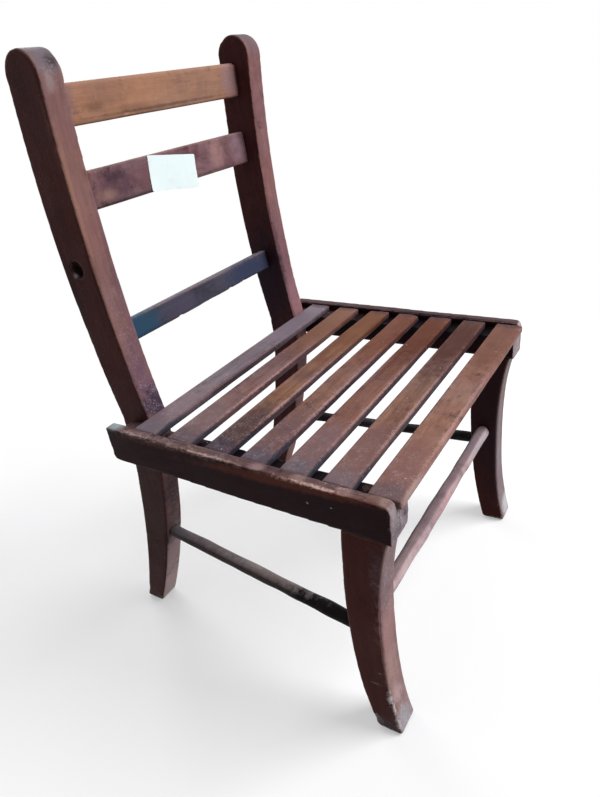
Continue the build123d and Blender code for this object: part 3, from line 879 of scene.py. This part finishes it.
def makeLabel():
    # the stuck-on paper label: the CAD sheet cut into small faces, its lower corners lifting a little
    bm = mergedCopy("paper_label")
    low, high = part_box("paper_label")
    for across, length in ((Vector((1, 0, 0)), high.x - low.x), (Vector((0, 0, 1)), high.z - low.z)):
        for cut in range(1, int(length / labelSheet["spacing"])):
            place = low + across * cut * labelSheet["spacing"]
            bmesh.ops.bisect_plane(bm, geom=bm.verts[:] + bm.edges[:] + bm.faces[:],
                                   plane_co=place, plane_no=across)
    middle = (low + high) / 2
    flat = labelSheet["flatShare"]
    for vert in bm.verts:
        sideways = abs(vert.co.x - middle.x) / (high.x - middle.x)
        down = (middle.z - vert.co.z) / (high.z - middle.z)
        lift = max(0.0, sideways - flat) * max(0.0, down) / (1 - flat)
        vert.co.y -= labelSheet["curl"] * lift
    finishPiece(objectFrom(bm, "label_sheet"), "paper_label", paperFinish())


def repaint(node, material):
    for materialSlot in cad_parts[node].material_slots:
        materialSlot.material = material


repaint("slat_nails", steelFinish())
repaint("rail_dowels", woodFinish("rail_dowels_finish", dowelLook))
makeLabel()
print("small pieces finished")


# floor, light and camera
studio = {"floorSize": 30.0, "floorTint": (247, 247, 249), "floorBounce": 0.2, "shadowFrom": 0.4,
          "shadowTo": 1.5, "shadowLift": 0.35, "frontGlow": 0.1, "backGlow": 0.55,
          "glowFrom": (0.5, 0.5, 0.7), "glowRamp": (-0.4, 0.9),
          "keyPlace": (1.3, -2.6, 2.9), "keySize": 2.4, "keyPower": 165.0,
          "fillPlace": (1.2, 2.4, 2.4), "fillSize": 2.0, "fillPower": 40.0, "aim": (0.0, 0.0, 0.4)}
white = (1.0, 1.0, 1.0, 1.0)


def seesRoom(tree):
    # 1 for the rays that show the room itself: to the camera, and mirrored or seen through a piece
    path = tree.add("ShaderNodeLightPath").outputs
    shiny = tree.math("MAXIMUM", path["Is Glossy Ray"], path["Is Transmission Ray"])
    return tree.math("MAXIMUM", path["Is Camera Ray"], shiny)


def floorFinish():
    # what the camera and mirrors see is the floor with its shadow, lifted a little, and white further off;
    # the light that it bounces is kept low, so that the undersides stay dark
    material, tree, shader = startMaterial("studio_floor_finish")
    shader.inputs["Base Color"].default_value = tint(*studio["floorTint"])
    shader.inputs["Roughness"].default_value = 1.0
    shader.inputs["Specular IOR Level"].default_value = 0.0
    dim = tree.add("ShaderNodeBsdfDiffuse", Color=(*(studio["floorBounce"],) * 3, 1.0))
    bright = tree.add("ShaderNodeEmission", Color=white)
    away = tree.length(tree.add("ShaderNodeTexCoord").outputs["Object"])
    far = tree.ramp(away, studio["shadowFrom"], studio["shadowTo"])
    far = tree.math("MAXIMUM", far, studio["shadowLift"])
    shown = tree.add("ShaderNodeMixShader", i0=far, i1=shader.outputs[0], i2=bright.outputs[0])
    both = tree.add("ShaderNodeMixShader", i0=seesRoom(tree), i1=dim.outputs[0], i2=shown.outputs[0])
    tree.feed(tree.output, "Surface", both.outputs[0])
    return material


def makeFloor():
    bm = bmesh.new()
    bmesh.ops.create_grid(bm, x_segments=1, y_segments=1, size=studio["floorSize"] / 2)
    floor = objectFrom(bm, "studio_floor")
    floor.data.materials.append(floorFinish())


def makeLamp(name, place, size, power):
    lamp = bpy.data.lights.new(name, "AREA")
    lamp.size = size
    lamp.energy = power
    holder = bpy.data.objects.new(name, lamp)
    bpy.context.scene.collection.objects.link(holder)
    holder.location = place
    aim = Vector(studio["aim"]) - Vector(place)
    holder.rotation_euler = aim.to_track_quat("-Z", "Y").to_euler()


def makeWorld():
    # the room is white to the camera and in mirrors, and its soft light comes mostly from behind and above
    world = bpy.data.worlds.new("studio_world")
    world.use_nodes = True
    world.node_tree.nodes.clear()
    tree = NodeTree(world.node_tree)
    direction = tree.add("ShaderNodeTexCoord").outputs["Generated"]
    towards = tree.add("ShaderNodeVectorMath", {"operation": "DOT_PRODUCT"}, i0=direction,
                       i1=Vector(studio["glowFrom"]).normalized()).outputs[1]
    glow = tree.ramp(towards, *studio["glowRamp"])
    glow = tree.math("MULTIPLY", glow, studio["backGlow"] - studio["frontGlow"])
    glow = tree.math("ADD", glow, studio["frontGlow"])
    background = tree.add("ShaderNodeBackground", Strength=tree.math("MAXIMUM", glow, seesRoom(tree)))
    background.inputs["Color"].default_value = white
    tree.feed(tree.add("ShaderNodeOutputWorld"), "Surface", background.outputs[0])
    bpy.context.scene.world = world


cameraView = {"place": (-0.7078, -0.5243, 0.8063), "turn": (62.494, 9.383, -57.769), "lens": 27.132,
              "sensor": 36.0, "shiftX": 0.0019, "shiftY": 0.00025, "nearest": 0.01}


def makeCamera():
    camera = bpy.data.cameras.new("view")
    camera.lens = cameraView["lens"]
    camera.sensor_width = cameraView["sensor"]
    camera.shift_x = cameraView["shiftX"]
    camera.shift_y = cameraView["shiftY"]
    camera.clip_start = cameraView["nearest"]
    holder = bpy.data.objects.new("view", camera)
    bpy.context.scene.collection.objects.link(holder)
    holder.location = cameraView["place"]
    holder.rotation_euler = [math.radians(angle) for angle in cameraView["turn"]]
    bpy.context.scene.camera = holder


makeFloor()
makeLamp("key", studio["keyPlace"], studio["keySize"], studio["keyPower"])
makeLamp("fill", studio["fillPlace"], studio["fillSize"], studio["fillPower"])
makeWorld()
makeCamera()
bpy.context.scene.view_settings.view_transform = "Standard"
print("studio ready")
